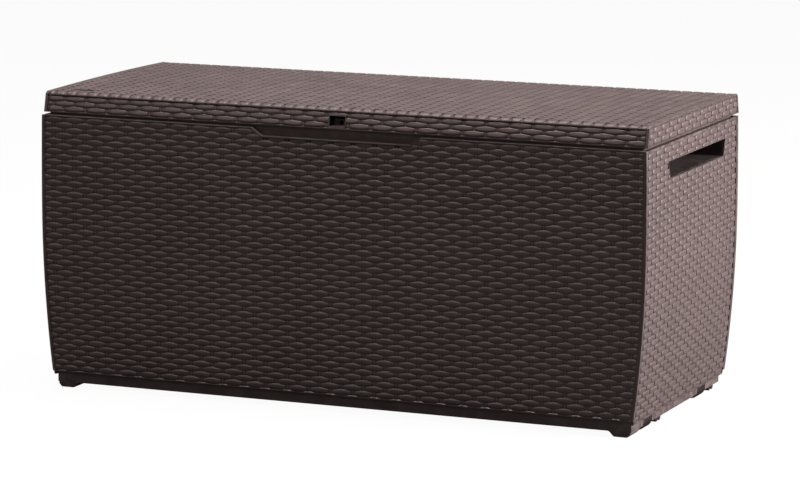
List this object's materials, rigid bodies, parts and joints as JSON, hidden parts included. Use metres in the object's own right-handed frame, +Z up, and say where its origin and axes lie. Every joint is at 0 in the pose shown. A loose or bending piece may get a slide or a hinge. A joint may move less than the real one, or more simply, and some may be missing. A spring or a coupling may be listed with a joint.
{
  "type": "deck storage box",
  "caption": "Long resin trunk with woven-look panels, a hinged double-skinned lid, recessed end handles, a padlock window and two transport rollers.",
  "frame": {"origin": "on the ground, under the middle of the box", "axes": "+X along the length towards the roller end, +Y from the front panel to the hinged back, +Z up"},
  "size_m": [1.226, 0.544, 0.576],
  "materials": {
    "woven_resin": "dark brown resin with a woven strand relief, soft satin sheen",
    "smooth_resin": "dark brown resin, fine moulded grain",
    "black_resin": "black moulded resin, fine grain",
    "roller_resin": "black hard resin, scuffed on its tread",
    "rubber_pad": "dull black rubber",
    "zinc_steel": "zinc-plated steel sheet",
    "pin_steel": "turned or rolled steel, zinc plated"
  },
  "bodies": {
    "box": {"base_tray": "smooth_resin", "front_panel": "woven_resin", "back_panel": "woven_resin", "left_panel": "woven_resin", "right_panel": "woven_resin", "left_handle_cup": "smooth_resin", "right_handle_cup": "smooth_resin", "lock_tab": "black_resin", "lid_bumpers": "rubber_pad", "left_hinge_leaf": "black_resin", "middle_hinge_leaf": "black_resin", "right_hinge_leaf": "black_resin", "left_hinge_pin": "pin_steel", "middle_hinge_pin": "pin_steel", "right_hinge_pin": "pin_steel", "left_stay_stud": "pin_steel", "right_stay_stud": "pin_steel", "front_axle": "pin_steel", "rear_axle": "pin_steel", "front_roller_carrier": "black_resin", "rear_roller_carrier": "black_resin", "tray_screws": "pin_steel", "cup_screws": "pin_steel", "lock_screws": "pin_steel", "hinge_leaf_screws": "pin_steel", "carrier_screws": "pin_steel"},
    "lid": {"lid_shell": "woven_resin", "lid_liner": "smooth_resin", "front_lid_tube": "zinc_steel", "rear_lid_tube": "zinc_steel", "blank_badge": "black_resin", "left_hinge_strap": "black_resin", "middle_hinge_strap": "black_resin", "right_hinge_strap": "black_resin", "left_stay_bracket": "zinc_steel", "right_stay_bracket": "zinc_steel", "left_stay_rivet": "pin_steel", "right_stay_rivet": "pin_steel", "hinge_strap_screws": "pin_steel", "liner_screws": "pin_steel"},
    "left_stay": {"left_stay_arm": "zinc_steel"},
    "right_stay": {"right_stay_arm": "zinc_steel"},
    "front_roller_body": {"front_roller": "roller_resin"},
    "rear_roller_body": {"rear_roller": "roller_resin"}
  },
  "joints": [
    {"name": "lid_hinge", "type": "hinge", "parent": "box", "child": "lid", "pos_m": [0, 0.266, 0.543], "axis": [-1, 0, 0], "range_deg": [0, 92]},
    {"name": "left_stay_pivot", "type": "hinge", "parent": "lid", "child": "left_stay", "pos_m": [-0.592, 0.18864, 0.533], "axis": [1, 0, 0], "range_deg": [0, 46]},
    {"name": "right_stay_pivot", "type": "hinge", "parent": "lid", "child": "right_stay", "pos_m": [0.592, 0.18864, 0.533], "axis": [1, 0, 0], "range_deg": [0, 46]},
    {"name": "front_roller_spin", "type": "hinge", "parent": "box", "child": "front_roller_body", "pos_m": [0.57347, -0.171, 0.014], "axis": [0, 1, 0], "continuous": true},
    {"name": "rear_roller_spin", "type": "hinge", "parent": "box", "child": "rear_roller_body", "pos_m": [0.57347, 0.143, 0.014], "axis": [0, 1, 0], "continuous": true}
  ],
  "couplings": [
    {"joint": "left_stay_pivot", "follows": "lid_hinge", "ratio": 0.5},
    {"joint": "right_stay_pivot", "follows": "lid_hinge", "ratio": 0.5}
  ]
}
